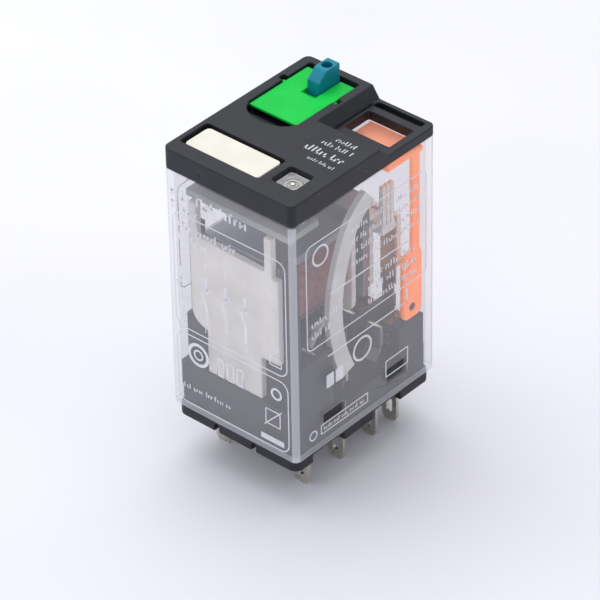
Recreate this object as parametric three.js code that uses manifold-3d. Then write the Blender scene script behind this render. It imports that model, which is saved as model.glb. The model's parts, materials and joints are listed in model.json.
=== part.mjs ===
// Plug-in control relay with four changeover contacts, fourteen flat blades, a clear case,
// a test button under a lock-down door, an indicator flag and a removable legend plate.
// Millimetres, +Z up. The origin is the middle of the base's underside; X is the width,
// -Y is the coil end and +Y is the contact end.

import * as THREE from 'three';
import { mergeVertices } from 'three/addons/utils/BufferGeometryUtils.js';
import Module from 'manifold-3d';

const wasm = await Module();
wasm.setup();

// ---- driving dimensions ----

const caseWidth = 20.8;
const caseDepth = 26.8;
const caseBottom = 1.9;
const caseTop = 37.3;
const caseWall = 0.8;
const caseTopWall = 0.9;
const caseCornerRadius = 0.9;

const seat = 0.1; // gap between pieces that rest on each other
const run = 0.3; // gap between pieces that move past each other

const capHeight = 3.05;
const capStep = 1.65;
const capStepSlope = 1.6;
const capPegs = [[-8, -4.2], [8.4, -4.2]];

const bladeWidth = 2.45;
const bladeThickness = 0.5;
const bladeLength = 5.7;
const bladeHole = { width: 1.0, height: 2.2, fromTip: 2.3 };
const poleSpacing = 4.4;
const rows = { coil: -8.05, common: -1.45, open: 4.9, closed: 9.0 };

const baseInset = 0.4;
const baseTop = 5.6;
const blockDepth = 1.2;
const blockEdges = [-9.8, -3.9, 1.9, 7.0];
const upstand = { ledge: 8.3, top: 14.9, thickness: 1.0, rear: -5.2 };
const cornerPost = { gap: 0.4, width: 2.0, top: 29.6 };
const snapWindows = [
  { y0: -8.2, y1: -4.1, z0: 4.9, z1: 6.7 },
  { y0: 3.9, y1: 7.8, z0: 4.4, z1: 6.7 },
];

const contactHeight = 9.3;
const contactRadius = 0.95;
const contactHead = 0.62;
const armThickness = 0.4;
const springThickness = 0.25;
const springWidth = 2.4;
const springPlane = 8.6;

const armatureSwing = 3.2; // degrees
const hinge = { y: 4.2, z: 27.9 };
const coilAxis = 20.6;
const windingRadius = 5.8;
const coreRadius = 2.3;
const poleFace = { radius: 4.0, thickness: 0.9 };
const coil = { front: -9.7, rear: 3.0, flange: 0.8 };
const yokeThickness = 1.4;
const yokeWidth = 12.4;
const armatureThickness = 1.3;
const leadThickness = 0.8;
const leadWidth = 2.5;

const ledPlace = { x: 6.25, y: -8.45 };
const ledRadius = 1.45;
const boardTop = 34.3;
const boardThickness = 1.0;

const button = { x: -4.6, y: 9.75, width: 2.0, depth: 4.0, rise: 2.35, travel: 1.8 };
const door = {
  left: -8.87, right: -1.05, front: 0.7, rear: 11.95, thickness: 1.2, drop: 0.3,
  lip: 0.35, undercut: 1.7,
};
const doorPivot = 7.6;
const doorOpen = 60; // degrees
const legend = { left: -9.0, right: 2.85, front: -11.0, rear: -6.55, thickness: 1.0, drop: 0.2 };
const flagWindow = { left: 2.05, right: 9.2, front: 5.9, rear: 10.5 };
const lever = { thickness: 0.6, gap: 0.25, pivotY: 10.2, pivotZ: 12.5 };
const leverBody = { front: 8.4, rear: 12.0, below: 1.6, top: 21 };
const leverStem = { front: 10.2, rear: 11.6 };
const flag = { left: 0.9, front: 5.6, rear: 12.2, thickness: 0.7, headroom: 0.5 };

const plate = {
  left: -7.5, right: 6.9, bottom: 14.8, hornWidth: 1.2, hornRight: 5.9, shoulderLeft: 28.4,
  shoulderRight: 28.0, tongueLeft: -5.0, tongueRight: 3.9, corner: 2.5,
};

// ---- worked out from them ----

const capBottom = caseTop + seat;
const plateau = capBottom + capHeight;
const lowTop = plateau - capStep;
const poles = [-1.5, -0.5, 0.5, 1.5].map((k) => k * poleSpacing);
const innerHalfWidth = caseWidth / 2 - caseWall;
const innerHalfDepth = caseDepth / 2 - caseWall;
const caseInnerTop = caseTop - caseTopWall;
const leverOuter = innerHalfWidth - lever.gap;
const leverInner = leverOuter - lever.thickness;
const swing = THREE.MathUtils.degToRad(armatureSwing);
const contactTravel = (hinge.z - contactHeight) * Math.sin(swing);
const springRear = springPlane + springThickness;
const armReach = 1.6; // how far a fixed arm stands above its contact
const openFace = springPlane - contactHead - contactTravel - 0.15;
const closedFace = springRear + contactHead + seat;

// ---- colours ----

const finishes = {
  black: { color: 0x26242a, roughness: 0.5, metalness: 0 },
  clear: { color: 0xe6e7ee, roughness: 0.15, metalness: 0, transparent: true, opacity: 0.35 },
  green: { color: 0x2ee66a, roughness: 0.4, metalness: 0 },
  teal: { color: 0x0f8a9e, roughness: 0.4, metalness: 0 },
  white: { color: 0xfffff6, roughness: 0.45, metalness: 0 },
  orange: { color: 0xff8038, roughness: 0.45, metalness: 0 },
  ivory: { color: 0xd8d5cc, roughness: 0.5, metalness: 0 },
  steel: { color: 0x9a9ca2, roughness: 0.4, metalness: 1 },
  tinned: { color: 0xcfcdc4, roughness: 0.3, metalness: 1 },
  bronze: { color: 0xc9a66b, roughness: 0.35, metalness: 1 },
  contact: { color: 0xd9b45a, roughness: 0.3, metalness: 1 },
  copper: { color: 0x8a4a38, roughness: 0.4, metalness: 0.4 },
  board: { color: 0xa9b38a, roughness: 0.6, metalness: 0 },
  resistor: { color: 0x9a4a36, roughness: 0.5, metalness: 0 },
  diode: { color: 0x1c1c20, roughness: 0.4, metalness: 0 },
};

const relay = new THREE.Group();
relay.name = 'relay';

// ---- helpers ----

function solid(geometry) {
  const bare = geometry.index ? geometry.toNonIndexed() : geometry.clone();
  bare.deleteAttribute('normal');
  bare.deleteAttribute('uv');
  const merged = mergeVertices(bare, 1e-5);
  return new wasm.Manifold(
    new wasm.Mesh({
      numProp: 3,
      vertProperties: new Float32Array(merged.attributes.position.array),
      triVerts: new Uint32Array(merged.index.array),
    }),
  );
}

function addPiece(name, finish, body) {
  const mesh = body.getMesh();
  const geometry = new THREE.BufferGeometry();
  geometry.setAttribute('position', new THREE.BufferAttribute(mesh.vertProperties, 3));
  geometry.setIndex(new THREE.BufferAttribute(mesh.triVerts, 1));
  geometry.computeVertexNormals();
  const piece = new THREE.Mesh(geometry, new THREE.MeshStandardMaterial(finishes[finish]));
  piece.name = name;
  relay.add(piece);
}

function union(bodies) {
  return bodies.reduce((whole, body) => whole.add(body));
}

// a box between two corners
function box(x0, x1, y0, y1, z0, z1) {
  const geometry = new THREE.BoxGeometry(x1 - x0, y1 - y0, z1 - z0);
  geometry.translate((x0 + x1) / 2, (y0 + y1) / 2, (z0 + z1) / 2);
  return solid(geometry);
}

function roundedOutline(x0, x1, y0, y1, r) {
  const shape = new THREE.Shape();
  shape.moveTo(x0 + r, y0);
  shape.lineTo(x1 - r, y0);
  shape.absarc(x1 - r, y0 + r, r, -Math.PI / 2, 0, false);
  shape.lineTo(x1, y1 - r);
  shape.absarc(x1 - r, y1 - r, r, 0, Math.PI / 2, false);
  shape.lineTo(x0 + r, y1);
  shape.absarc(x0 + r, y1 - r, r, Math.PI / 2, Math.PI, false);
  shape.lineTo(x0, y0 + r);
  shape.absarc(x0 + r, y0 + r, r, Math.PI, 1.5 * Math.PI, false);
  return shape;
}

// a box with rounded vertical edges
function roundedBox(x0, x1, y0, y1, z0, z1, r, curveSegments = 4) {
  const options = { depth: z1 - z0, bevelEnabled: false, curveSegments };
  const geometry = new THREE.ExtrudeGeometry(roundedOutline(x0, x1, y0, y1, r), options);
  geometry.translate(0, 0, z0);
  return solid(geometry);
}

// an outline drawn in (y, z), extruded along X from x0 to x1
function sideProfile(shape, x0, x1, curveSegments = 6) {
  const options = { depth: x1 - x0, bevelEnabled: false, curveSegments };
  const geometry = new THREE.ExtrudeGeometry(shape, options);
  geometry.applyMatrix4(new THREE.Matrix4().makeBasis(
    new THREE.Vector3(0, 1, 0),
    new THREE.Vector3(0, 0, 1),
    new THREE.Vector3(1, 0, 0),
  ));
  geometry.translate(x0, 0, 0);
  return solid(geometry);
}

// an outline drawn in (x, z), extruded along Y from y0 to y1
function frontProfile(shape, y0, y1, curveSegments = 6) {
  const options = { depth: y1 - y0, bevelEnabled: false, curveSegments };
  const geometry = new THREE.ExtrudeGeometry(shape, options);
  geometry.rotateX(Math.PI / 2);
  geometry.translate(0, y1, 0);
  return solid(geometry);
}

function polygon(points) {
  return new THREE.Shape(points.map(([a, b]) => new THREE.Vector2(a, b)));
}

// a round body turned about a line through (0, 0, 0): profile points are (radius, along)
function turned(profile, segments = 20) {
  const points = profile.map(([r, along]) => new THREE.Vector2(r, along));
  const geometry = new THREE.LatheGeometry(points, segments);
  geometry.rotateX(Math.PI / 2);
  return geometry;
}

function turnedAlongZ(x, y, profile, segments) {
  const geometry = turned(profile, segments);
  geometry.translate(x, y, 0);
  return solid(geometry);
}

function turnedAlongY(x, z, profile, segments) {
  const geometry = turned(profile.map(([r, along]) => [r, -along]), segments);
  geometry.rotateX(Math.PI / 2);
  geometry.translate(x, 0, z);
  return orientedOut(geometry);
}

function turnedAlongX(y, z, profile, segments) {
  const geometry = turned(profile, segments);
  geometry.rotateY(Math.PI / 2);
  geometry.translate(0, y, z);
  return orientedOut(geometry);
}

// turns a closed geometry's faces outwards if it was made inside out
function orientedOut(geometry) {
  const body = solid(geometry);
  if (body.volume() > 0) {
    return body;
  }
  const flipped = geometry.index ? geometry.toNonIndexed() : geometry.clone();
  const places = flipped.attributes.position;
  for (let i = 0; i < places.count; i += 3) {
    const first = [places.getX(i), places.getY(i), places.getZ(i)];
    places.setXYZ(i, places.getX(i + 1), places.getY(i + 1), places.getZ(i + 1));
    places.setXYZ(i + 1, ...first);
  }
  return solid(flipped);
}

// a round bar or plug along one axis
function rod(radius, from, to) {
  return [[0, from], [radius, from], [radius, to], [0, to]];
}

// a round wire along a smooth curve through the given points
function wire(points, radius, steps, sides = 8) {
  const curve = new THREE.CatmullRomCurve3(points.map((p) => new THREE.Vector3(...p)));
  const section = new THREE.Shape();
  for (let i = 0; i < sides; i += 1) {
    const angle = (i / sides) * 2 * Math.PI;
    const place = [radius * Math.cos(angle), radius * Math.sin(angle)];
    if (i === 0) {
      section.moveTo(...place);
    } else {
      section.lineTo(...place);
    }
  }
  section.closePath();
  const options = { steps, extrudePath: curve, bevelEnabled: false };
  return orientedOut(new THREE.ExtrudeGeometry(section, options));
}

// ---- base ----

function makeBase() {
  const halfWidth = caseWidth / 2 - baseInset;
  const halfDepth = caseDepth / 2 - baseInset;
  const plug = { x: innerHalfWidth - seat, y: innerHalfDepth - seat };
  let body = roundedBox(-halfWidth, halfWidth, -halfDepth, halfDepth, 0, caseBottom - seat, 1.3);
  body = body.add(roundedBox(-plug.x, plug.x, -plug.y, plug.y, 1, baseTop, 0.5));

  // recesses between the three blocks on the underside
  for (const [from, to] of [[blockEdges[0], blockEdges[1]], [blockEdges[2], blockEdges[3]]]) {
    body = body.subtract(box(-caseWidth, caseWidth, from, to, -1, blockDepth));
  }
  for (const x of [-3.4, 2.8]) {
    body = body.subtract(box(x - 0.35, x + 0.35, -caseDepth, -halfDepth + 0.9, -1, blockDepth));
  }

  // upstand round the coil blades: a front wall behind the front plate's tongue, a ledge below
  // the tongue, a short wall at each side and a tall post beside each edge of the yoke
  const wallFront = coil.front - yokeThickness - seat;
  const wallRear = wallFront + upstand.thickness;
  body = body.add(box(-plug.x, plug.x, wallFront, wallRear, baseTop - 1, upstand.top));
  body = body.add(box(-plug.x, plug.x, -plug.y, wallRear, baseTop - 1, upstand.ledge));
  for (const side of [-1, 1]) {
    const span = [side * (plug.x - upstand.thickness * 0.8), side * plug.x].sort((a, b) => a - b);
    body = body.add(box(...span, wallFront, upstand.rear, baseTop - 1, upstand.top));
    const postInner = yokeWidth / 2 + cornerPost.gap;
    const post = [side * postInner, side * (postInner + cornerPost.width)].sort((a, b) => a - b);
    body = body.add(box(...post, wallFront, wallRear, upstand.top - 1, cornerPost.top));
  }

  // walls between the poles, round the fixed contacts
  const poleWallFront = rows.open - 1.2;
  const poleWallRear = plug.y - 0.3;
  for (const x of [-poleSpacing, 0, poleSpacing]) {
    const half = (poleSpacing - bladeWidth) / 2 - run - 0.15;
    body = body.add(box(
      x - half, x + half, poleWallFront, poleWallRear, baseTop - 1, contactHeight + 2.2,
    ));
  }

  // block and ear that carry the indicator lever, and its twin on the left
  const blockInner = poles[3] + bladeWidth / 2 + seat;
  for (const side of [-1, 1]) {
    const span = [side * blockInner, side * (plug.x - 0.05)].sort((a, b) => a - b);
    body = body.add(box(...span, 7.4, 12.2, baseTop - 1, lever.pivotZ - 1.9));
  }
  const earOuter = leverInner - 0.2;
  body = body.add(box(blockInner, earOuter, 9.3, 11.1, baseTop, lever.pivotZ + 0.9));
  body = body.add(turnedAlongX(lever.pivotY, lever.pivotZ, rod(0.5, earOuter - 0.3, leverOuter), 16));

  // snap lugs that spring into the windows of the case
  for (const side of [-1, 1]) {
    for (const window of snapWindows) {
      const lug = polygon([
        [window.y0 + 0.25, window.z0 + 0.2],
        [window.y1 - 0.25, window.z0 + 0.2],
        [window.y1 - 0.25, window.z1 - 0.3],
        [window.y0 + 0.25, window.z1 - 0.3],
      ]);
      const outer = caseWidth / 2 - 0.25;
      const span = [side * (plug.x - 0.5), side * outer].sort((a, b) => a - b);
      const backing = [side * (plug.x - 0.9), side * plug.x].sort((a, b) => a - b);
      body = body.add(box(...backing, window.y0 + 0.25, window.y1 - 0.25, baseTop - 1, window.z1));
      body = body.add(sideProfile(lug, ...span));
    }
  }

  // slots for the blades
  const halfSlotX = bladeWidth / 2 + 0.06;
  const halfSlotY = bladeThickness / 2 + 0.06;
  for (const [x, y] of bladePlaces()) {
    const slotTop = contactHeight + 3;
    body = body.subtract(box(
      x - halfSlotX, x + halfSlotX, y - halfSlotY, y + halfSlotY, -1, slotTop,
    ));
  }
  addPiece('base', 'black', body);
}

function bladePlaces() {
  const places = [[poles[0], rows.coil], [poles[3], rows.coil]];
  for (const x of poles) {
    places.push([x, rows.common], [x, rows.open], [x, rows.closed]);
  }
  return places;
}

// ---- blades ----

// a blade with its solder hole and chamfered tip, and a bent arm above it: the arm points
// are (y, z) along the middle of the strip
function bladeStrip(x, y, armPoints, thickness = bladeThickness) {
  const half = thickness / 2;
  const path = [[y, -bladeLength], ...armPoints];
  const left = [];
  const right = [];
  path.forEach(([py, pz], i) => {
    const before = path[Math.max(i - 1, 0)];
    const after = path[Math.min(i + 1, path.length - 1)];
    const along = new THREE.Vector2(after[0] - before[0], after[1] - before[1]).normalize();
    left.push([py - along.y * half, pz + along.x * half]);
    right.push([py + along.y * half, pz - along.x * half]);
  });
  let body = sideProfile(polygon([...right, ...left.reverse()]), x - bladeWidth / 2, x + bladeWidth / 2);

  const holeBottom = -bladeLength + bladeHole.fromTip - bladeHole.height / 2;
  const hole = roundedOutline(
    x - bladeHole.width / 2, x + bladeHole.width / 2,
    holeBottom, holeBottom + bladeHole.height, bladeHole.width / 2 - 0.01,
  );
  body = body.subtract(frontProfile(hole, y - 1, y + 1, 5));
  const chamfer = 0.45;
  for (const side of [-1, 1]) {
    const edge = x + side * bladeWidth / 2;
    const corner = polygon([
      [edge - side * chamfer, -bladeLength - 0.1],
      [edge + side * 0.1, -bladeLength - 0.1],
      [edge + side * 0.1, -bladeLength + chamfer * 1.6],
    ]);
    body = body.subtract(frontProfile(corner, y - 1, y + 1));
  }
  return body;
}

// a domed contact rivet along Y, from its back to its face
function rivet(x, back, face) {
  const dome = face > back ? -0.12 : 0.12;
  const profile = [
    [0, back], [contactRadius, back], [contactRadius, face + dome],
    [contactRadius * 0.6, face], [0, face],
  ];
  return turnedAlongY(x, contactHeight, face > back ? profile : profile.reverse(), 14);
}

function makeTerminals() {
  const armTop = contactHeight + armReach;
  poles.forEach((x, i) => {
    const number = i + 1;
    const openArm = openFace - contactHead - armThickness / 2;
    addPiece(`no_terminal_${number}`, 'tinned', bladeStrip(x, rows.open, [
      [rows.open, baseTop + 0.6], [openArm, baseTop + 1.9], [openArm, armTop],
    ]));
    addPiece(`no_contact_${number}`, 'contact', rivet(x, openArm + bladeThickness / 2 + 0.02, openFace));

    const closedArm = closedFace + contactHead + armThickness / 2;
    addPiece(`nc_terminal_${number}`, 'tinned', bladeStrip(x, rows.closed, [
      [rows.closed, baseTop + 0.4], [closedArm, baseTop + 1.7], [closedArm, armTop],
    ]));
    addPiece(`nc_contact_${number}`, 'contact', rivet(x, closedArm - bladeThickness / 2 - 0.02, closedFace));

    let common = bladeStrip(x, rows.common, [[rows.common, baseTop + 3]]);
    if (i === 0 || i === 3) {
      const side = Math.sign(x);
      const tab = [x, leadPlane(side) + side * 0.2].sort((a, b) => a - b);
      common = common.add(box(
        ...tab, rows.common - bladeThickness / 2, rows.common + bladeThickness / 2,
        baseTop + 1.4, baseTop + 2.6,
      ));
    }
    addPiece(`com_terminal_${number}`, 'tinned', common);
  });
  [poles[0], poles[3]].forEach((x, i) => {
    addPiece(`coil_terminal_${i + 1}`, 'tinned', bladeStrip(x, rows.coil, [[rows.coil, baseTop + 6]]));
  });
}

// ---- flexible leads from the common blades to the contact springs ----

function leadPlane(side) {
  return side * (innerHalfWidth - 0.25 - leadThickness / 2 - 0.7);
}

// a flat sleeved lead of even width along a curve through (y, z) points
function flatLead(x, points, width) {
  const curve = new THREE.SplineCurve(points.map(([y, z]) => new THREE.Vector2(y, z)));
  const steps = 20;
  const left = [];
  const right = [];
  for (let i = 0; i <= steps; i += 1) {
    const place = curve.getPointAt(i / steps);
    const along = curve.getTangentAt(i / steps);
    left.push([place.x - along.y * width / 2, place.y + along.x * width / 2]);
    right.push([place.x + along.y * width / 2, place.y - along.x * width / 2]);
  }
  const outline = polygon([...right, ...left.reverse()]);
  return sideProfile(outline, x - leadThickness / 2, x + leadThickness / 2);
}

function makeLeads() {
  poles.forEach((x, i) => {
    const name = `flexible_lead_${i + 1}`;
    if (i === 0 || i === 3) {
      const route = [
        [rows.common, 8.7], [-3.0, 13], [-3.7, 19], [-2.6, 25], [-0.2, 30.4], [2.9, 33.0],
      ];
      addPiece(name, 'white', flatLead(leadPlane(Math.sign(x)), route, leadWidth));
    } else {
      const route = [
        [x, rows.common, 9.4], [x, 0.4, 11.4], [x, 3.0, 12.3], [x, 5.2, 12.5], [x, 7.3, 13.2],
      ];
      addPiece(name, 'white', wire(route, 0.45, 16));
    }
  });
}

// ---- magnet ----

function makeMagnet() {
  const winding = { front: coil.front + coil.flange + seat, rear: coil.rear - coil.flange - seat };
  const tube = coreRadius + 0.9;
  const flangeHalf = windingRadius + 0.35;
  const bore = turnedAlongY(0, coilAxis, rod(coreRadius + 0.05, coil.front - 1, coil.rear + 1), 24);

  let bobbin = turnedAlongY(0, coilAxis, rod(tube, coil.front, coil.rear), 24);
  for (const from of [coil.front, coil.rear - coil.flange]) {
    bobbin = bobbin.add(roundedBoxAlongY(flangeHalf, from, from + coil.flange, 1.2));
  }
  addPiece('bobbin', 'ivory', bobbin.subtract(bore));

  const ring = [
    [tube + 0.05, winding.front], [windingRadius, winding.front],
    [windingRadius, winding.rear], [tube + 0.05, winding.rear], [tube + 0.05, winding.front],
  ];
  addPiece('coil_winding', 'copper', turnedAlongY(0, coilAxis, ring, 28));

  // the core is riveted through the yoke's front leg and ends in a wide pole face
  const yokeFront = coil.front - seat - yokeThickness;
  const poleStart = coil.rear + seat;
  const core = turnedAlongY(0, coilAxis, [
    [0, yokeFront], [1.4, yokeFront], [1.4, coil.front - 0.05], [coreRadius, coil.front - 0.05],
    [coreRadius, poleStart], [poleFace.radius, poleStart],
    [poleFace.radius, poleStart + poleFace.thickness], [0, poleStart + poleFace.thickness],
  ], 24);
  addPiece('core', 'steel', core);

  const topLegBottom = coilAxis + flangeHalf + 0.35;
  const half = yokeWidth / 2;
  let yoke = box(-half, half, yokeFront, hinge.y - 0.3, topLegBottom, topLegBottom + yokeThickness);
  yoke = yoke.add(box(
    -half, half, yokeFront, yokeFront + yokeThickness, coilAxis - 5.4, topLegBottom + yokeThickness,
  ));
  yoke = yoke.subtract(turnedAlongY(0, coilAxis, rod(1.45, yokeFront - 1, coil.front), 24));
  addPiece('yoke', 'steel', yoke);
  return topLegBottom + yokeThickness;
}

// a square plate round the coil axis with rounded corners
function roundedBoxAlongY(half, y0, y1, r) {
  const outline = roundedOutline(-half, half, coilAxis - half, coilAxis + half, r);
  return frontProfile(outline, y0, y1);
}

// ---- armature, carrier and contact springs ----

function makeArmature(yokeTop) {
  const poleDrop = hinge.z - coilAxis + poleFace.radius;
  const front = coil.rear + seat + poleFace.thickness + poleDrop * Math.sin(swing) + 0.1;
  const rear = front + armatureThickness;
  const lipBottom = yokeTop + 0.25;
  const lipTop = lipBottom + armatureThickness;
  const profile = polygon([
    [front, coilAxis - 5.2], [rear, coilAxis - 5.2], [rear, lipTop], [hinge.y - 2.2, lipTop],
    [hinge.y - 2.2, lipBottom], [front, lipBottom],
  ]);
  let armature = sideProfile(profile, -5.9, 5.9);
  armature = armature.add(box(
    -0.6, 0.6, hinge.y - 1.9, hinge.y - 1.3, lipTop - 0.3, lipTop + 1.9,
  ));
  addPiece('armature', 'steel', armature);

  // carrier: a web against the armature, a shelf above it, and three upright ribs at each side
  const webFront = rear + seat;
  const shelf = { front: webFront, rear: springPlane - 0.05, bottom: 24.8, top: 26.2 };
  const shelfHalf = poles[3] + springWidth / 2 + 0.1;
  let carrier = box(-shelfHalf, shelfHalf, shelf.front, shelf.rear, shelf.bottom, shelf.top);
  carrier = carrier.add(box(-5.6, 5.6, webFront, webFront + 0.9, coilAxis - 4.4, shelf.top));
  const ribWidth = 0.55;
  for (const side of [-1, 1]) {
    for (const y of [6.45, 7.25, 8.05]) {
      const span = [side * (shelfHalf - 0.6), side * shelfHalf].sort((a, b) => a - b);
      carrier = carrier.add(box(...span, y - ribWidth / 2, y + ribWidth / 2, 25.6, 32.0));
    }
  }
  addPiece('carrier', 'ivory', carrier);

  poles.forEach((x, i) => {
    const number = i + 1;
    const half = springWidth / 2;
    let spring = box(x - half, x + half, springPlane, springRear, 16, shelf.top);
    spring = spring.add(box(x - 0.9, x + 0.9, springPlane, springRear, contactHeight - 1.2, 16.5));
    const hole = turnedAlongY(x, contactHeight, rod(0.42, springPlane - 1, springRear + 1), 12);
    addPiece(`contact_spring_${number}`, 'bronze', spring.subtract(hole));

    const rearHead = springRear + 0.02;
    const frontHead = springPlane - 0.02;
    const head = contactHead - 0.02;
    const profile = [
      [0, frontHead - head], [0.6, frontHead - head], [contactRadius, frontHead - head + 0.12],
      [contactRadius, frontHead], [0.38, frontHead], [0.38, rearHead],
      [contactRadius, rearHead], [contactRadius, rearHead + head - 0.12],
      [0.6, rearHead + head], [0, rearHead + head],
    ];
    addPiece(`moving_contact_${number}`, 'contact', turnedAlongY(x, contactHeight, profile, 14));
  });

  // clamp behind the springs: a bar, the arm under the button and the drive arm to the lever
  const clampFront = springRear + 0.05;
  const clampRear = clampFront + 0.75;
  let clamp = box(-shelfHalf, shelfHalf, clampFront, clampRear, shelf.bottom, shelf.top + 0.2);
  clamp = clamp.add(box(
    button.x - 1.6, button.x + 1.6, clampFront, button.y + 1.4, shelf.top - 1.0, shelf.top + 0.2,
  ));
  const driveZ = 19.4;
  clamp = clamp.add(box(shelfHalf - 0.75, shelfHalf, clampFront, clampRear, driveZ - 0.7, shelf.top));
  clamp = clamp.add(turnedAlongX(
    (clampFront + clampRear) / 2, driveZ, rod(0.4, shelfHalf - 0.4, leverOuter - 0.05), 12,
  ));
  addPiece('spring_clamp', 'ivory', clamp);
  return { driveY: (clampFront + clampRear) / 2, driveZ, armTop: shelf.top + 0.2, lipTop };
}

function makeReturnSpring(lipTop) {
  // a tension spring above the yoke, from its front hook to the armature's tail
  const z = lipTop + 1.15;
  const start = -6.2;
  const end = hinge.y - 2.3;
  const turns = 9;
  const radius = 0.75;
  const points = [];
  const perTurn = 8;
  for (let i = 0; i <= turns * perTurn; i += 1) {
    const t = i / (turns * perTurn);
    const angle = t * turns * 2 * Math.PI;
    const y = start + 0.5 + t * (end - start - 1);
    points.push([radius * Math.cos(angle), y, z + radius * Math.sin(angle)]);
  }
  addPiece('return_spring', 'steel', wire(points, 0.15, turns * perTurn, 6));
}

// ---- indicator ----

function makeIndicator(drive) {
  const flagTop = caseInnerTop - flag.headroom;
  const bottom = lever.pivotZ - leverBody.below;
  const body = roundedOutline(leverBody.front, leverBody.rear, bottom, leverBody.top, 1.0);
  const stem = polygon([
    [leverStem.front, leverBody.top - 1], [leverStem.rear, leverBody.top - 1],
    [leverStem.rear, flagTop], [leverStem.front, flagTop],
  ]);
  let indicator = sideProfile(body, leverInner, leverOuter);
  indicator = indicator.add(sideProfile(stem, leverInner, leverOuter));
  indicator = indicator.add(box(
    flag.left, leverOuter, flag.front, flag.rear, flagTop - flag.thickness, flagTop,
  ));
  const bearing = rod(0.62, leverInner - 1, leverOuter + 1);
  indicator = indicator.subtract(turnedAlongX(lever.pivotY, lever.pivotZ, bearing, 16));
  const slot = roundedOutline(
    drive.driveY - 0.62, drive.driveY + 0.62, drive.driveZ - 1.0, drive.driveZ + 0.75, 0.5,
  );
  indicator = indicator.subtract(sideProfile(slot, leverInner - 1, leverOuter + 1));
  addPiece('indicator', 'orange', indicator);
}

// ---- front plate and LED circuit ----

function makeFrontPlate() {
  const front = -innerHalfDepth + 0.3;
  const rear = coil.front - seat - yokeThickness - seat;
  const hornTop = boardTop - boardThickness - seat;
  const leftHorn = plate.left + plate.hornWidth;
  const rightHorn = plate.hornRight - plate.hornWidth;
  const tongueBottom = upstand.ledge + seat;
  const cornerZ = plate.bottom + plate.corner;
  const outline = new THREE.Shape();
  outline.moveTo(plate.tongueLeft, tongueBottom);
  outline.lineTo(plate.tongueRight, tongueBottom);
  outline.lineTo(plate.tongueRight, plate.bottom);
  outline.lineTo(plate.right, plate.bottom);
  outline.lineTo(plate.right, plate.shoulderRight - 0.6);
  outline.lineTo(plate.hornRight, plate.shoulderRight - 0.6);
  outline.lineTo(plate.hornRight, hornTop);
  outline.lineTo(rightHorn, hornTop);
  outline.lineTo(rightHorn, plate.shoulderRight);
  outline.lineTo(leftHorn, plate.shoulderLeft);
  outline.lineTo(leftHorn, hornTop);
  outline.lineTo(plate.left, hornTop);
  outline.lineTo(plate.left, cornerZ);
  outline.absarc(plate.left + plate.corner, cornerZ, plate.corner, Math.PI, 1.5 * Math.PI, false);
  let body = frontProfile(outline, front, rear);
  // recess for the riveted end of the core
  body = body.subtract(turnedAlongY(0, coilAxis, rod(1.7, rear - 0.5, rear + 1), 20));
  addPiece('front_plate', 'ivory', body);
}

function makeLedCircuit() {
  const boardBottom = boardTop - boardThickness;
  let board = box(-8.4, 8.4, -innerHalfDepth + 0.9, -6.3, boardBottom, boardTop);
  board = board.subtract(box(-9, -7.2, -7.6, -6, boardBottom - 1, boardTop + 1));
  addPiece('led_board', 'board', board);

  const tip = caseTop + seat + capHeight - 1.5;
  const start = boardTop + seat;
  const rim = ledRadius + 0.25;
  const profile = [[0, start], [rim, start], [rim, start + 0.9], [ledRadius, start + 0.9]];
  for (let i = 0; i <= 5; i += 1) {
    const angle = (i / 5) * (Math.PI / 2);
    profile.push([ledRadius * Math.cos(angle), tip - ledRadius + ledRadius * Math.sin(angle)]);
  }
  profile[profile.length - 1][0] = 0;
  addPiece('led', 'clear', turnedAlongZ(ledPlace.x, ledPlace.y, profile, 20));

  // resistor and diode hang below the board on their bent wires
  const parts = [
    { name: 'resistor', finish: 'resistor', x: -3.6, radius: 0.85, length: 3.6 },
    { name: 'diode', finish: 'diode', x: 1.6, radius: 0.6, length: 2.8 },
  ];
  for (const { name, finish, x, radius, length } of parts) {
    const z = boardBottom - 1.4;
    const y = -8.6;
    const half = length / 2;
    const barrel = turnedAlongX(y, z, [
      [0, x - half], [radius * 0.8, x - half], [radius, x - half + 0.4],
      [radius, x + half - 0.4], [radius * 0.8, x + half], [0, x + half],
    ], 14);
    const legs = [-1, 1].map((side) => {
      const out = x + side * (half + 0.7);
      return box(Math.min(x + side * (half - 0.2), out), Math.max(x + side * (half - 0.2), out),
        y - 0.15, y + 0.15, z - 0.15, z + 0.15)
        .add(box(out - 0.15, out + 0.15, y - 0.15, y + 0.15, z - 0.15, boardBottom - seat));
    });
    addPiece(name, finish, union([barrel, ...legs]));
  }
}

function makeCoilWires() {
  [-1, 1].forEach((side, i) => {
    const x = side * (poles[3] - 0.4);
    const start = baseTop + 6.2;
    addPiece(`coil_wire_${i + 1}`, 'copper', wire([
      [x, rows.coil, start], [x, rows.coil + 0.3, start + 1.4],
      [side * 5.9, rows.coil + 0.5, start + 3.2], [side * 5.95, rows.coil + 0.6, start + 5.0],
    ], 0.14, 8, 6));
  });
}

// ---- case ----

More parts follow.
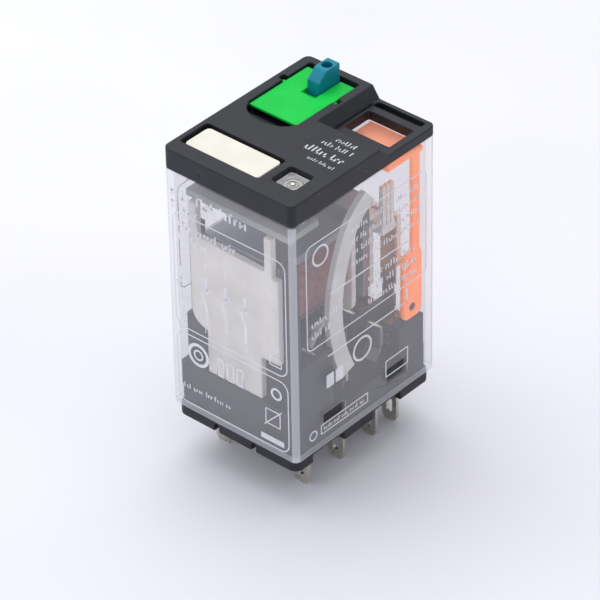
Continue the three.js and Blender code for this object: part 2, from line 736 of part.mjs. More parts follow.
function makeCase() {
  const halfWidth = caseWidth / 2;
  const halfDepth = caseDepth / 2;
  let body = roundedBox(
    -halfWidth, halfWidth, -halfDepth, halfDepth, caseBottom, caseTop, caseCornerRadius,
  );
  body = body.subtract(roundedBox(
    -innerHalfWidth, innerHalfWidth, -innerHalfDepth, innerHalfDepth,
    caseBottom - 1, caseInnerTop, 0.3,
  ));
  for (const window of snapWindows) {
    body = body.subtract(box(
      -caseWidth, caseWidth, window.y0, window.y1, window.z0, window.z1,
    ));
  }
  // openings for the LED, the button with the door's tail, and the cap's pegs
  const ledHole = rod(ledRadius + run, caseInnerTop - 1, caseTop + 1);
  body = body.subtract(turnedAlongZ(ledPlace.x, ledPlace.y, ledHole, 20));
  body = body.subtract(box(
    door.left - run, door.right + run, doorPivot - 1.0, door.rear + run, caseInnerTop - 1, caseTop + 1,
  ));
  for (const [x, y] of capPegs) {
    body = body.subtract(turnedAlongZ(x, y, rod(0.8 + seat, caseInnerTop - 1, caseTop + 1), 12));
  }
  addPiece('case', 'clear', body);
}

// ---- cap ----

// an outline drawn in (x, y), cut or raised between two heights
function column(shape, z0, z1, curveSegments = 8) {
  const geometry = new THREE.ExtrudeGeometry(shape, { depth: z1 - z0, bevelEnabled: false, curveSegments });
  geometry.translate(0, 0, z0);
  return solid(geometry);
}

function makeCap() {
  const halfWidth = caseWidth / 2;
  const halfDepth = caseDepth / 2;
  const above = plateau + 1;
  let body = roundedBox(-halfWidth, halfWidth, -halfDepth, halfDepth, capBottom, plateau, 0.9);

  // the low corner behind a sloped step, beside a sloped ridge
  const stepStart = 2.8;
  const ridge = 0.3;
  const far = caseDepth;
  const stepCut = sideProfile(polygon([
    [stepStart, plateau + 0.01], [stepStart + capStepSlope, lowTop], [far, lowTop],
    [far, above], [stepStart, above],
  ]), ridge, far);
  const ridgeCut = frontProfile(polygon([
    [ridge, plateau + 0.01], [ridge + capStepSlope * 0.7, lowTop], [far, lowTop],
    [far, above], [ridge, above],
  ]), stepStart, far);
  body = body.subtract(stepCut.intersect(ridgeCut));
  const groove = { left: ridge + capStepSlope * 0.7, width: 0.5, depth: 0.35 };
  body = body.subtract(box(
    groove.left, groove.left + groove.width, stepStart + capStepSlope + 0.2, halfDepth - 1.4,
    lowTop - groove.depth, above,
  ));

  // flag window, rear slot and LED window
  body = body.subtract(box(
    flagWindow.left, flagWindow.right, flagWindow.front, flagWindow.rear, capBottom - 1, above,
  ));
  body = body.subtract(roundedBox(1.7, 9.3, 11.7, 12.75, lowTop - 0.9, above, 0.4));
  body = body.subtract(roundedBox(
    ledPlace.x - 1.87, ledPlace.x + 1.87, ledPlace.y - 1.87, ledPlace.y + 1.87,
    capBottom - 1, above, 0.45,
  ));

  // legend pocket
  const pocket = legend.thickness + legend.drop + seat;
  body = body.subtract(roundedBox(
    legend.left - 0.65, legend.right + run, legend.front - seat, legend.rear + 0.5,
    plateau - pocket, above, 0.4,
  ));

  // door pocket, its pivot notches, the opening behind the pivot and the thumb recess
  const doorFloor = plateau - door.drop - door.thickness - 0.15;
  const gap = 0.12;
  body = body.subtract(box(
    door.left - gap, door.right + gap, door.front - 0.15, door.rear + run, doorFloor, above,
  ));
  body = body.subtract(box(
    door.left - gap, door.right + gap, doorPivot - 1.0, door.rear + run, capBottom - 1, above,
  ));
  body = body.subtract(box(
    door.left - 0.85, door.right + 0.85, doorPivot - 0.5, doorPivot + 0.5, doorFloor, above,
  ));
  const recess = new THREE.Shape();
  recess.absellipse((door.left + door.right) / 2, door.front, 3.8, 2.3, Math.PI, 2 * Math.PI, false);
  recess.lineTo(door.right - 0.1, door.front + 0.6);
  recess.lineTo(door.left + 0.1, door.front + 0.6);
  body = body.subtract(column(recess, plateau - 1.3, above));

  // hollows under the top, and the pegs that hold the cap to the case
  const skin = 1.1;
  body = body.subtract(box(1.0, 9.3, -5.6, 1.6, capBottom - 1, plateau - skin));
  body = body.subtract(box(-9.3, 3.0, -12.3, -6.2, capBottom - 1, plateau - pocket - 0.8));
  for (const [x, y] of capPegs) {
    body = body.add(turnedAlongZ(x, y, rod(0.8, caseInnerTop - 0.3, plateau - 0.9), 12));
  }
  const dimple = turnedAlongY(-4.4, plateau - 1.7, rod(0.22, -halfDepth - 1, -halfDepth + 0.15), 10);
  addPiece('cap', 'black', body.subtract(dimple));
}

// ---- door, button, legend plate ----

function makeDoor() {
  const top = plateau - door.drop;
  const bottom = top - door.thickness;
  const pivotZ = (top + bottom) / 2;
  const profile = new THREE.Shape();
  profile.moveTo(door.front + door.undercut, bottom);
  profile.lineTo(door.rear - 0.6, bottom);
  profile.absarc(door.rear - 0.6, pivotZ, door.thickness / 2, -Math.PI / 2, Math.PI / 2, false);
  profile.lineTo(door.front, top);
  profile.lineTo(door.front, top - door.lip);
  let body = sideProfile(profile, door.left, door.right);
  const slotHalf = button.width / 2 + 0.15;
  body = body.subtract(box(
    button.x - slotHalf, button.x + slotHalf, button.y - button.depth / 2 - run, door.rear + 1,
    bottom - 1, top + 1,
  ));
  // a short ramp in front of the slot, so that the open door clears the raised button
  const open = THREE.MathUtils.degToRad(doorOpen);
  const clearAt = (ahead) => (0.02 + ahead * Math.cos(open)) / Math.sin(open);
  const slotAhead = doorPivot - button.y + button.depth / 2 + run;
  const rampAhead = (door.thickness / 2 * Math.sin(open) - 0.02) / Math.cos(open);
  const ramp = polygon([
    [doorPivot - rampAhead, top + 0.01], [doorPivot - slotAhead + 0.3, pivotZ + clearAt(slotAhead - 0.3)],
    [doorPivot + 0.5, top + 1], [doorPivot - rampAhead, top + 1],
  ]);
  body = body.subtract(sideProfile(ramp, button.x - slotHalf, button.x + slotHalf));
  const pins = rod(0.4, door.left - 0.6, door.right + 0.6);
  const pinBody = turnedAlongX(doorPivot, pivotZ, pins, 12)
    .subtract(box(door.left + 1, door.right - 1, doorPivot - 1, doorPivot + 1, bottom - 1, top + 1));
  addPiece('door', 'green', body.add(pinBody));
}

function makeButton(armTop) {
  const drop = (button.y + 0.6 - hinge.y) * Math.sin(swing);
  const bottom = armTop + button.travel - drop + 0.15;
  const top = plateau + button.rise;
  const y0 = button.y - button.depth / 2;
  const y1 = button.y + button.depth / 2;
  const head = polygon([
    [y0, caseTop], [y1, caseTop], [y1, top], [y1 - 2.5, top], [y0, plateau + 1.1],
  ]);
  const halfWidth = button.width / 2;
  let body = sideProfile(head, button.x - halfWidth, button.x + halfWidth);
  body = body.add(box(
    button.x - 0.8, button.x + 0.8, button.y - 1.0, button.y + 1.4, bottom, caseTop + 0.5,
  ));
  const hole = rod(0.7, top - 1.2, top + 1);
  body = body.subtract(turnedAlongZ(button.x, y1 - 1.35, hole, 16));
  addPiece('test_button', 'teal', body);
}

function makeLegendPlate() {
  const top = plateau - legend.drop;
  addPiece('legend_plate', 'white', roundedBox(
    legend.left, legend.right, legend.front, legend.rear, top - legend.thickness, top, 0.5,
  ));
}

// ---- the whole relay ----

makeBase();
makeTerminals();
makeLeads();
const yokeTop = makeMagnet();
const drive = makeArmature(yokeTop);
makeReturnSpring(drive.lipTop);
makeIndicator(drive);
makeFrontPlate();
makeLedCircuit();
makeCoilWires();
makeCase();
makeCap();
makeDoor();
makeButton(drive.armTop);
makeLegendPlate();

export default relay;
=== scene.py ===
"""Looks of a plug-in control relay: a clear case on a black base, with a black cap above."""
import json
import math
import random

import bpy
from mathutils import Euler, Matrix, Vector


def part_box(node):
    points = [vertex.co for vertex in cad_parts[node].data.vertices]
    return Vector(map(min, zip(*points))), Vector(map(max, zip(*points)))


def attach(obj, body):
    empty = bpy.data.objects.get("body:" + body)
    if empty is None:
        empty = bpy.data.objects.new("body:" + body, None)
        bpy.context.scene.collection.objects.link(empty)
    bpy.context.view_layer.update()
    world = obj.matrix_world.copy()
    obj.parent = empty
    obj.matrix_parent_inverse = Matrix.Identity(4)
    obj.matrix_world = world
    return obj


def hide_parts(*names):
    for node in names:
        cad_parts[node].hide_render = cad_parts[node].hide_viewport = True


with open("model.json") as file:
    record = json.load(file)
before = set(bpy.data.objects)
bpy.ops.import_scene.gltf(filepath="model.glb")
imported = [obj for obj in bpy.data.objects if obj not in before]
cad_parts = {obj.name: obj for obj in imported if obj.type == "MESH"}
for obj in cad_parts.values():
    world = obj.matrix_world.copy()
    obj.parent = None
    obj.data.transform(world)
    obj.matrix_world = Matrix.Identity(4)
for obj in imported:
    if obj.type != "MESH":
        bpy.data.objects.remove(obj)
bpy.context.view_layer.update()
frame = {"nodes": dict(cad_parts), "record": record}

MM = 0.001
NODES = frame["nodes"]
BODY_OF = {node: body for body, members in frame["record"]["behaviour"]["bodies"].items()
           for node in members}
SLOT_OF = {part["node"]: part["material_slot"] for part in frame["record"]["subparts"]}


# ---- camera ----

CAMERA_AZIMUTH = math.radians(41.765)
CAMERA_HEIGHT_ANGLE = math.radians(35.91)
CAMERA_ROLL = math.radians(-1.087)
CAMERA_DISTANCE = 519.6 * MM
CAMERA_TARGET = Vector((-0.243, -0.290, 14.91)) * MM
CAMERA_LENS = 249.5


def place_camera():
    back = Vector((
        math.sin(CAMERA_AZIMUTH) * math.cos(CAMERA_HEIGHT_ANGLE),
        -math.cos(CAMERA_AZIMUTH) * math.cos(CAMERA_HEIGHT_ANGLE),
        math.sin(CAMERA_HEIGHT_ANGLE),
    ))
    across = Vector((0, 0, 1)).cross(back).normalized()
    up = back.cross(across)
    turned_across = across * math.cos(CAMERA_ROLL) + up * math.sin(CAMERA_ROLL)
    turned_up = up * math.cos(CAMERA_ROLL) - across * math.sin(CAMERA_ROLL)
    data = bpy.data.cameras.new("camera")
    data.lens = CAMERA_LENS
    data.clip_start = 0.01
    data.clip_end = 5
    camera = bpy.data.objects.new("camera", data)
    bpy.context.scene.collection.objects.link(camera)
    turn = Matrix((turned_across, turned_up, back)).transposed()
    camera.matrix_world = Matrix.Translation(CAMERA_TARGET + back * CAMERA_DISTANCE) @ turn.to_4x4()
    bpy.context.scene.camera = camera


place_camera()


# ---- sizes read from the frame ----

CASE_LOW, CASE_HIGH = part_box("case")
CAP_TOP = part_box("cap")[1].z
FRONT = CASE_LOW.y
REAR = CASE_HIGH.y
LEFT = CASE_LOW.x
RIGHT = CASE_HIGH.x
# the relay stands on the tips of its blades
FLOOR_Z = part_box("coil_terminal_1")[0].z


# ---- materials ----

def linear(code):
    """An sRGB hex colour as linear red, green, blue and 1."""
    parts = [int(code[i:i + 2], 16) / 255 for i in (1, 3, 5)]
    curve = [c / 12.92 if c <= 0.04045 else ((c + 0.055) / 1.055) ** 2.4 for c in parts]
    return (*curve, 1.0)


def add_node(tree, kind, values=None, links=None, **settings):
    """Adds a node with its settings, its sockets' values and the sockets that feed it."""
    made = tree.nodes.new(kind)
    for name, value in settings.items():
        setattr(made, name, value)
    for socket, value in (values or {}).items():
        made.inputs[socket].default_value = value
    for socket, source in (links or {}).items():
        tree.links.new(source, made.inputs[socket])
    return made


def start_material(name, colour, roughness, ior=1.5, **values):
    """A material with one Principled shader; returns it with its tree, shader and coordinates."""
    material = bpy.data.materials.new(name)
    material.use_nodes = True
    tree = material.node_tree
    tree.nodes.clear()
    shader = add_node(tree, "ShaderNodeBsdfPrincipled", {
        "Base Color": linear(colour), "Roughness": roughness, "IOR": ior, **values,
    })
    add_node(tree, "ShaderNodeOutputMaterial", links={"Surface": shader.outputs["BSDF"]})
    coords = add_node(tree, "ShaderNodeTexCoord").outputs["Object"]
    return material, tree, shader, coords


# the part of a noise's range where most of its values lie
NOISE_LOW = 0.3
NOISE_HIGH = 0.7


def noise(tree, coords, size_mm, detail=3.0, roughness=0.5):
    return add_node(
        tree, "ShaderNodeTexNoise",
        {"Scale": 1 / (size_mm * MM), "Detail": detail, "Roughness": roughness}, {"Vector": coords},
    ).outputs["Fac"]


def spread(tree, source, low, high):
    """Turns a noise into values from low to high."""
    return add_node(
        tree, "ShaderNodeMapRange",
        {"From Min": NOISE_LOW, "From Max": NOISE_HIGH, "To Min": low, "To Max": high},
        {"Value": source},
    ).outputs["Result"]


def shade_between(tree, source, dark, light):
    """Turns a noise into a colour between dark and light."""
    ramp = add_node(tree, "ShaderNodeValToRGB", links={"Fac": source})
    ramp.color_ramp.elements[0].position = NOISE_LOW
    ramp.color_ramp.elements[0].color = linear(dark)
    ramp.color_ramp.elements[1].position = NOISE_HIGH
    ramp.color_ramp.elements[1].color = linear(light)
    return ramp.outputs["Color"]


def add_bump(tree, shader, height, depth_mm, strength=1.0):
    bump = add_node(
        tree, "ShaderNodeBump", {"Distance": depth_mm * MM, "Strength": strength}, {"Height": height},
    )
    tree.links.new(bump.outputs["Normal"], shader.inputs["Normal"])


def moulded_plastic(name, dark, light, roughness, grain_mm=0.09, depth_mm=0.006, ior=1.54, **values):
    """Injection-moulded plastic: a fine spark-eroded grain, and a slow drift of tone."""
    material, tree, shader, coords = start_material(name, light, roughness, ior, **values)
    drift = noise(tree, coords, 3.0, 2.0)
    tree.links.new(shade_between(tree, drift, dark, light), shader.inputs["Base Color"])
    grain = noise(tree, coords, grain_mm, 2.0)
    tree.links.new(spread(tree, grain, roughness - 0.07, roughness + 0.09), shader.inputs["Roughness"])
    add_bump(tree, shader, grain, depth_mm)
    return material


# dust on the black plastic, in millimetres apart, in share of that spacing, and in strength;
# its motes are drawn larger than real so that they show
MOTE_SPACING = 1.7
MOTE_SIZE = 0.045
MOTE_STRENGTH = 0.35


def dusty_black_plastic():
    """Black glass-filled polyester: a matt spark-eroded grain that catches a little pale dust."""
    material, tree, shader, coords = start_material(
        "black_glass_filled_polyester", "#17181e", 0.5, 1.46,
    )
    grain = noise(tree, coords, 0.1, 3.0)
    drift = noise(tree, coords, 4.0, 2.0)
    tone = shade_between(tree, drift, "#15171d", "#1d1f26")
    cells = add_node(
        tree, "ShaderNodeTexVoronoi", {"Scale": 1 / (MOTE_SPACING * MM)}, {"Vector": coords},
    )
    mote = add_node(
        tree, "ShaderNodeMath", {1: MOTE_SIZE}, {0: cells.outputs["Distance"]}, operation="LESS_THAN",
    ).outputs[0]
    pale = add_node(
        tree, "ShaderNodeMath", {1: MOTE_STRENGTH}, {0: mote}, operation="MULTIPLY",
    ).outputs[0]
    dust = add_node(
        tree, "ShaderNodeMix", {7: linear("#b9b6b4")},
        {0: pale, 6: tone}, data_type="RGBA",
    ).outputs[2]
    tree.links.new(dust, shader.inputs["Base Color"])
    tree.links.new(spread(tree, grain, 0.44, 0.58), shader.inputs["Roughness"])
    add_bump(tree, shader, grain, 0.008)
    return material


def clear_polycarbonate(name, colour, roughness, veil, ripple_mm=0.02):
    """Clear polycarbonate: glossy, with a slight milkiness that veils what is behind it."""
    material, tree, shader, coords = start_material(name, colour, roughness, 1.58, Alpha=veil)
    add_bump(tree, shader, noise(tree, coords, 5.0, 1.0), ripple_mm, 0.4)
    return material


def rolled_metal(name, colour, roughness, grain_mm, stretch=(1, 1, 12)):
    """Rolled or plated sheet: fine lines along the strip and a soft cloudy sheen."""
    material, tree, shader, coords = start_material(name, colour, roughness, Metallic=1.0)
    along = add_node(
        tree, "ShaderNodeMapping", {"Scale": tuple(1 / s for s in stretch)}, {"Vector": coords},
    ).outputs["Vector"]
    lines = noise(tree, along, grain_mm, 4.0, 0.6)
    cloud = noise(tree, coords, 1.6, 3.0)
    tree.links.new(spread(tree, cloud, roughness - 0.08, roughness + 0.12), shader.inputs["Roughness"])
    add_bump(tree, shader, lines, 0.004)
    return material


def wound_wire():
    """Enamelled copper wire in close turns: warm red-brown enamel, glossy along each turn."""
    material, tree, shader, coords = start_material(
        "enamelled_copper_wire", "#a8604e", 0.3, 1.55, Metallic=0.15,
    )
    tone = shade_between(tree, noise(tree, coords, 0.9, 3.0), "#9a5446", "#c07a66")
    tree.links.new(tone, shader.inputs["Base Color"])
    return material


# the orange polycarbonate is given a faint glow, painted light that stands in for the light its edges
# carry to its faces
PAINTED_GLOW = 0.4


def make_materials():
    """One finish for each material slot of the record, and those of the print and the case."""
    return {
        "black_plastic": dusty_black_plastic(),
        "clear_case": clear_polycarbonate("polished_clear_polycarbonate", "#e4e3e8", 0.12, 0.17),
        "case_inside": clear_polycarbonate("textured_clear_polycarbonate", "#e0dfe4", 0.5, 0.15),
        # the case's corners and rim take a whiter, less clear finish: a painted highlight
        "painted_highlight_edge": clear_polycarbonate("clear_polycarbonate_painted_highlight", "#f2f2f8", 0.3, 0.5),
        "window_boss": clear_polycarbonate("clear_window_boss", "#c9cacb", 0.2, 0.8, 0.0),
        "clear_lens": clear_polycarbonate("clear_epoxy", "#e8e8ea", 0.04, 0.3, 0.0),
        "green_plastic": moulded_plastic("green_abs", "#00c444", "#00d14b", 0.5, ior=1.3),
        "teal_plastic": moulded_plastic("teal_polyamide", "#00788c", "#00859b", 0.42, ior=1.4),
        "white_plastic": moulded_plastic("off_white_abs", "#e6e3d3", "#eeebdc", 0.45),
        # the orange finish glows a little: painted light, not a lamp
        "orange_plastic": moulded_plastic(
            "orange_polycarbonate", "#ff7422", "#ff9440", 0.35,
            **{"Emission Color": linear("#ff8a30"), "Emission Strength": PAINTED_GLOW},
        ),
        "ivory_plastic": moulded_plastic("ivory_glass_filled_polyester", "#f0ebe2", "#fbf8f1", 0.5),
        "plated_steel": rolled_metal("zinc_plated_steel", "#8f9298", 0.38, 0.12),
        "tinned_brass": rolled_metal("tin_plated_brass", "#cfccc2", 0.3, 0.08),
        "spring_bronze": rolled_metal("phosphor_bronze_strip", "#c8a276", 0.32, 0.06),
        "contact_alloy": rolled_metal("gold_flashed_silver", "#e0b35c", 0.26, 0.1, (1, 1, 1)),
        "enamelled_copper": wound_wire(),
        "lead_sleeve": moulded_plastic("silicone_sleeve", "#e9e6de", "#faf8f2", 0.6),
        "circuit_board": moulded_plastic("glass_epoxy_laminate", "#9c9f96", "#b0b2a9", 0.45),
        "resistor_coat": moulded_plastic("lacquered_resistor", "#8c3f2e", "#a4523d", 0.3),
        "diode_body": moulded_plastic("moulded_epoxy", "#151518", "#1e1e22", 0.35),
        "ink": moulded_plastic("white_pad_print", "#ececf0", "#f8f8fb", 0.5, Alpha=0.78),
        "cap_ink": moulded_plastic("grey_pad_print", "#c6c8ce", "#d2d4da", 0.5),
    }


MATERIALS = make_materials()


# ---- modelling helpers ----

def select_only(obj):
    bpy.ops.object.select_all(action="DESELECT")
    obj.select_set(True)
    bpy.context.view_layer.objects.active = obj


def apply_modifier(obj, kind, **settings):
    select_only(obj)
    modifier = obj.modifiers.new(kind.lower(), kind)
    for name, value in settings.items():
        setattr(modifier, name, value)
    bpy.ops.object.modifier_apply(modifier=modifier.name)


def settle(obj):
    """Puts the object's place into its mesh."""
    select_only(obj)
    bpy.ops.object.transform_apply(location=True, rotation=True, scale=True)


def finish_piece(obj, name, body, material, replaces=(), angle=35):
    """Names a piece, gives it its finish and smooth faces, and ties it to its body and slot."""
    obj.name = name
    obj.data.name = name
    if material is not None:
        obj.data.materials.clear()
        obj.data.materials.append(MATERIALS[material])
    select_only(obj)
    bpy.ops.object.shade_smooth_by_angle(angle=math.radians(angle))
    apply_modifier(obj, "WEIGHTED_NORMAL", keep_sharp=True, weight=100)
    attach(obj, body)
    if replaces:
        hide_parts(*replaces)
    return obj


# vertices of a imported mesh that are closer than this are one, in millimetres
SAME_PLACE = 0.002
# an edge that turns by less than this many degrees stays as it is
SOFT_EDGE = 30


def refined_copy(node, width_mm, segments=3):
    """The moulded form of a node: its edges rounded as a real tool leaves them."""
    source = NODES[node]
    obj = bpy.data.objects.new(node + "_form", source.data.copy())
    bpy.context.scene.collection.objects.link(obj)
    select_only(obj)
    bpy.ops.object.mode_set(mode="EDIT")
    bpy.ops.mesh.select_all(action="SELECT")
    bpy.ops.mesh.remove_doubles(threshold=SAME_PLACE * MM)
    bpy.ops.object.mode_set(mode="OBJECT")
    if width_mm:
        apply_modifier(
            obj, "BEVEL", width=width_mm * MM, segments=segments, limit_method="ANGLE",
            angle_limit=math.radians(SOFT_EDGE), use_clamp_overlap=False,
        )
    return obj


def refine(node, width_mm, segments=3):
    obj = refined_copy(node, width_mm, segments)
    finish_piece(obj, node + "_shape", BODY_OF[node], SLOT_OF[node], [node])


# ---- pieces that keep their form, with moulded edges ----

# the voxel that each moulded piece is skinned with, in millimetres, and how often it is eased
SKINS = {
    "cap": (0.11, 3), "base": (0.14, 2), "door": (0.09, 3), "test_button": (0.08, 22),
    "legend_plate": (0.09, 3), "indicator": (0.08, 2), "front_plate": (0.12, 3),
    "led_board": (0.12, 1), "bobbin": (0.15, 2), "spring_clamp": (0.1, 2),
}
# edge radius of the other shaped pieces, in millimetres
EDGE_WIDTHS = {"armature": 0.12, "yoke": 0.2, "carrier": 0.07}
TERMINAL_EDGE = 0.06
CASE_EDGE = 0.12
# triangles that a skin is thinned to
FINEST_COUNT = 90000


def skin(node, voxel_mm, easing):
    """A moulded piece as one even skin, whose edges are eased as a real tool leaves them."""
    obj = refined_copy(node, 0)
    apply_modifier(obj, "REMESH", mode="VOXEL", voxel_size=voxel_mm * MM, adaptivity=0.0)
    apply_modifier(obj, "SMOOTH", factor=0.5, iterations=easing)
    triangles = 2 * len(obj.data.polygons)
    if triangles > FINEST_COUNT:
        apply_modifier(obj, "DECIMATE", ratio=FINEST_COUNT / triangles)
    finish_piece(obj, node + "_moulding", BODY_OF[node], SLOT_OF[node], [node], angle=50)


def round_moulded_pieces():
    for node, (voxel_mm, easing) in SKINS.items():
        skin(node, voxel_mm, easing)
    for node, width in EDGE_WIDTHS.items():
        refine(node, width)
    for node in NODES:
        if "terminal" in node:
            refine(node, TERMINAL_EDGE, 2)


# a face this far in from the case's outside belongs to its inner wall, in millimetres
INNER_WALL = 0.3
# height of the rim that takes the painted highlight, in millimetres
CASE_RIM = 0.25
CASE_FINISHES = ("clear_case", "case_inside", "painted_highlight_edge")


def make_case():
    """The shell is polished outside and textured inside; its corners and rim take a whiter, less clear
    finish, a painted highlight.
    """
    obj = refined_copy("case", CASE_EDGE)
    obj.data.materials.clear()
    for finish in CASE_FINISHES:
        obj.data.materials.append(MATERIALS[finish])
    wall = INNER_WALL * MM
    for face in obj.data.polygons:
        spot = face.center
        inside = LEFT + wall < spot.x < RIGHT - wall and FRONT + wall < spot.y < REAR - wall
        upright = abs(face.normal.z) < 0.2
        slanted = upright and max(abs(face.normal.x), abs(face.normal.y)) < 0.98
        rim = spot.z < CASE_LOW.z + CASE_RIM * MM
        # corners and rim take the whiter finish of the painted highlight
        if rim or (slanted and not inside):
            face.material_index = CASE_FINISHES.index("painted_highlight_edge")
        elif inside and spot.z < CASE_HIGH.z - wall:
            face.material_index = CASE_FINISHES.index("case_inside")
    finish_piece(obj, "case_shell", "root", None, ["case"])


# ---- winding ----

# the turns are drawn thicker than real wire so that they show
WIRE_PITCH = 0.36
# radius of a turn as a share of the pitch, past a half so that the turns close up
WIRE_OVERLAP = 0.62


def wind_coil():
    """Close turns of enamelled wire, one ring for each turn of the outer layer."""
    low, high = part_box("coil_winding")
    radius = (high.x - low.x) / 2
    wire_radius = WIRE_PITCH * WIRE_OVERLAP * MM
    turns = int((high.y - low.y) / (WIRE_PITCH * MM)) - 1
    bpy.ops.object.select_all(action="DESELECT")
    bpy.ops.mesh.primitive_torus_add(
        location=(0, low.y + wire_radius, (low.z + high.z) / 2), rotation=(math.pi / 2, 0, 0),
        major_radius=radius - wire_radius, minor_radius=wire_radius,
        major_segments=64, minor_segments=10,
    )
    obj = bpy.context.object
    settle(obj)
    step = (high.y - low.y - 2 * wire_radius) / (turns - 1)
    apply_modifier(
        obj, "ARRAY", count=turns, use_relative_offset=False, use_constant_offset=True,
        constant_offset_displace=(0, step, 0),
    )
    finish_piece(obj, "coil_turns", "root", "enamelled_copper", ["coil_winding"], angle=60)


# ---- LED ----

# the clear boss in the LED window: below the cap's top, across, rim and pocket, in millimetres
BOSS_DEPTH = 0.8
BOSS_SIZE = 3.6
BOSS_CORNER = 0.4
BOSS_RIM = 0.28
BOSS_POCKET = 0.16
BOSS_THICKNESS = 0.25
# radius and wire radius of the rings moulded in the lens, the dome and their depth in the boss
LENS_RINGS = ((1.25, 0.09), (0.7, 0.07))
LENS_DOME = 0.4
LENS_DEPTH = 0.1


def make_led_window():
    """The clear square boss of the case that fills the LED window, with a ringed lens in it."""
    low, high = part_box("led")
    middle = (low + high) / 2
    top = CAP_TOP - BOSS_DEPTH * MM
    bpy.ops.object.select_all(action="DESELECT")
    bpy.ops.mesh.primitive_plane_add(size=BOSS_SIZE * MM, location=(middle.x, middle.y, top))
    boss = bpy.context.object
    settle(boss)
    bpy.ops.object.mode_set(mode="EDIT")
    bpy.ops.mesh.bevel(offset=BOSS_CORNER * MM, segments=5, affect="VERTICES")
    bpy.ops.mesh.inset(thickness=BOSS_RIM * MM)
    bpy.ops.transform.translate(value=(0, 0, -BOSS_POCKET * MM))
    bpy.ops.object.mode_set(mode="OBJECT")
    apply_modifier(boss, "SOLIDIFY", thickness=BOSS_THICKNESS * MM, offset=-1)
    finish_piece(boss, "led_window_boss", "root", "window_boss")

    lens_top = top - LENS_DEPTH * MM
    rings = []
    for radius, wire in LENS_RINGS:
        bpy.ops.object.select_all(action="DESELECT")
        bpy.ops.mesh.primitive_torus_add(
            location=(middle.x, middle.y, lens_top), major_radius=radius * MM,
            minor_radius=wire * MM, major_segments=40, minor_segments=10,
        )
        rings.append(bpy.context.object)
        settle(rings[-1])
    bpy.ops.object.select_all(action="DESELECT")
    bpy.ops.mesh.primitive_uv_sphere_add(
        segments=24, ring_count=12, radius=LENS_DOME * MM, location=(middle.x, middle.y, lens_top),
    )
    dome = bpy.context.object
    dome.scale.z = 0.5
    settle(dome)
    for part in rings:
        part.select_set(True)
    bpy.ops.object.join()
    finish_piece(bpy.context.object, "led_lens_rings", "root", "tinned_brass")


# ---- pad print ----

# every place and size of the print is in millimetres, across and up its face
INK_THICKNESS = 0.03


def outline_face(obj, line_mm):
    """Keeps only a line round the edge of a flat face."""
    bpy.ops.object.mode_set(mode="EDIT")
    bpy.ops.mesh.inset(thickness=line_mm * MM)
    bpy.ops.mesh.delete(type="FACE")
    bpy.ops.object.mode_set(mode="OBJECT")
    return obj


def patch(left, right, low, high, radius=0.06):
    """A filled patch of ink with rounded corners, laid flat across X and up Y."""
    bpy.ops.object.select_all(action="DESELECT")
    bpy.ops.mesh.primitive_plane_add(size=1, location=((left + right) / 2 * MM, (low + high) / 2 * MM, 0))
    obj = bpy.context.object
    obj.scale = ((right - left) * MM, (high - low) * MM, 1)
    settle(obj)
    bpy.ops.object.mode_set(mode="EDIT")
    bpy.ops.mesh.bevel(offset=radius * MM, segments=5 if radius > 0.2 else 2, affect="VERTICES")
    bpy.ops.object.mode_set(mode="OBJECT")
    return obj


def outline(left, right, low, high, radius, line=0.16):
    return outline_face(patch(left, right, low, high, radius), line)


def ring(x, y, radius, line=0.2):
    bpy.ops.object.select_all(action="DESELECT")
    bpy.ops.mesh.primitive_circle_add(
        vertices=40, radius=radius * MM, fill_type="NGON", location=(x * MM, y * MM, 0),
    )
    obj = bpy.context.object
    settle(obj)
    return outline_face(obj, line)


def slanted(x0, y0, x1, y1, line=0.16):
    """A straight line of ink from one point to another."""
    length = math.hypot(x1 - x0, y1 - y0)
    obj = patch(-length / 2, length / 2, -line / 2, line / 2, 0.04)
    obj.rotation_euler.z = math.atan2(y1 - y0, x1 - x0)
    obj.location = ((x0 + x1) / 2 * MM, (y0 + y1) / 2 * MM, 0)
    settle(obj)
    return obj


def words(left, right, middle, height, seed):
    """A line of plain upright strokes in groups, which stands for a line of print."""
    draw = random.Random(seed)
    stroke = height * 0.2
    marks = []
    start = left
    while start < right - stroke:
        for _ in range(draw.randint(3, 7)):
            if start > right - stroke:
                break
            tall = height / 2 if draw.random() < 0.4 else height * 0.32
            low = middle - height / 2
            marks.append(patch(start, start + stroke, low, low + 2 * tall, stroke * 0.3))
            if draw.random() < 0.6:
                cross = low + 2 * tall * draw.choice((0.12, 0.5, 0.88))
                marks.append(patch(
                    start, min(right, start + height * 0.42), cross - stroke / 2, cross + stroke / 2,
                    stroke * 0.3,
                ))
            start += height * draw.uniform(0.44, 0.62)
        start += height * 0.45
    return marks


def number(value, x, y, height):
    """A plain terminal number, centred on its place."""
    bpy.ops.object.select_all(action="DESELECT")
    bpy.ops.object.text_add(location=(x * MM, y * MM, 0))
    obj = bpy.context.object
    obj.data.body = str(value)
    obj.data.size = height * MM * 1.4
    obj.data.align_x = "CENTER"
    obj.data.align_y = "CENTER"
    obj.data.resolution_u = 3
    bpy.ops.object.convert(target="MESH")
    obj = bpy.context.object
    settle(obj)
    return obj


FACES = {
    "front": (Euler((math.pi / 2, 0, 0)), Vector((0, FRONT, 0))),
    "right": (Euler((math.pi / 2, 0, math.pi / 2)), Vector((RIGHT, 0, 0))),
    "left": (Euler((math.pi / 2, 0, -math.pi / 2)), Vector((LEFT, 0, 0))),
    "top": (Euler((0, 0, 0)), Vector((0, 0, CAP_TOP))),
}


